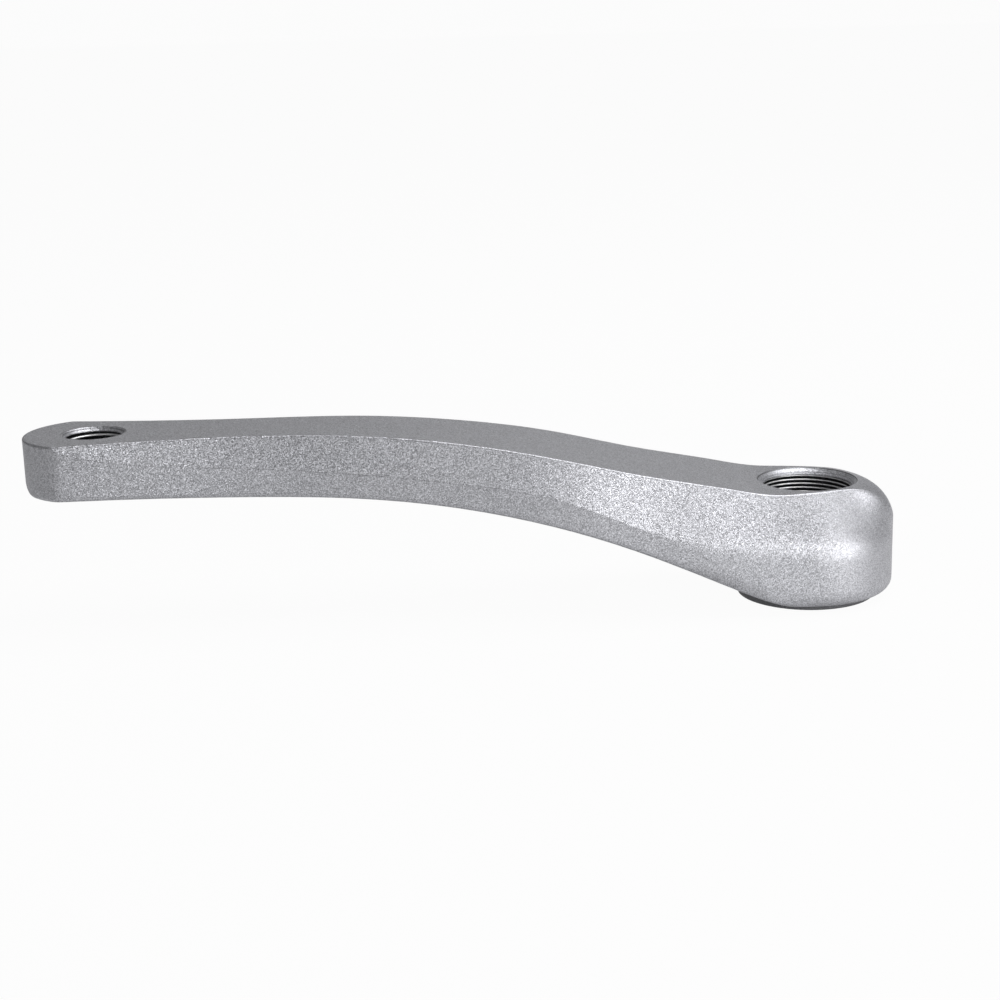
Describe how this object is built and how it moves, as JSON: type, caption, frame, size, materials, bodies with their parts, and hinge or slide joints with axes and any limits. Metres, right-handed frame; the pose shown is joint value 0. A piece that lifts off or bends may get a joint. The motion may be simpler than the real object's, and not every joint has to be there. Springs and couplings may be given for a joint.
{
  "type": "bicycle crank arm",
  "caption": "Bowed forged arm that clamps on a square taper spindle at its round boss and carries a pedal in a threaded hole at its narrow end.",
  "frame": {"origin": "on the spindle axis, in the inner face of the collar", "axes": "+Z along the spindle axis, away from the bicycle; the arm points along -X to the pedal hole"},
  "size_m": [0.207, 0.0412, 0.0455],
  "materials": {
    "forged_alloy": "bead-blasted, clear anodised, satin"
  },
  "bodies": {
    "root": {"crank_arm": "forged_alloy"}
  },
  "joints": []
}
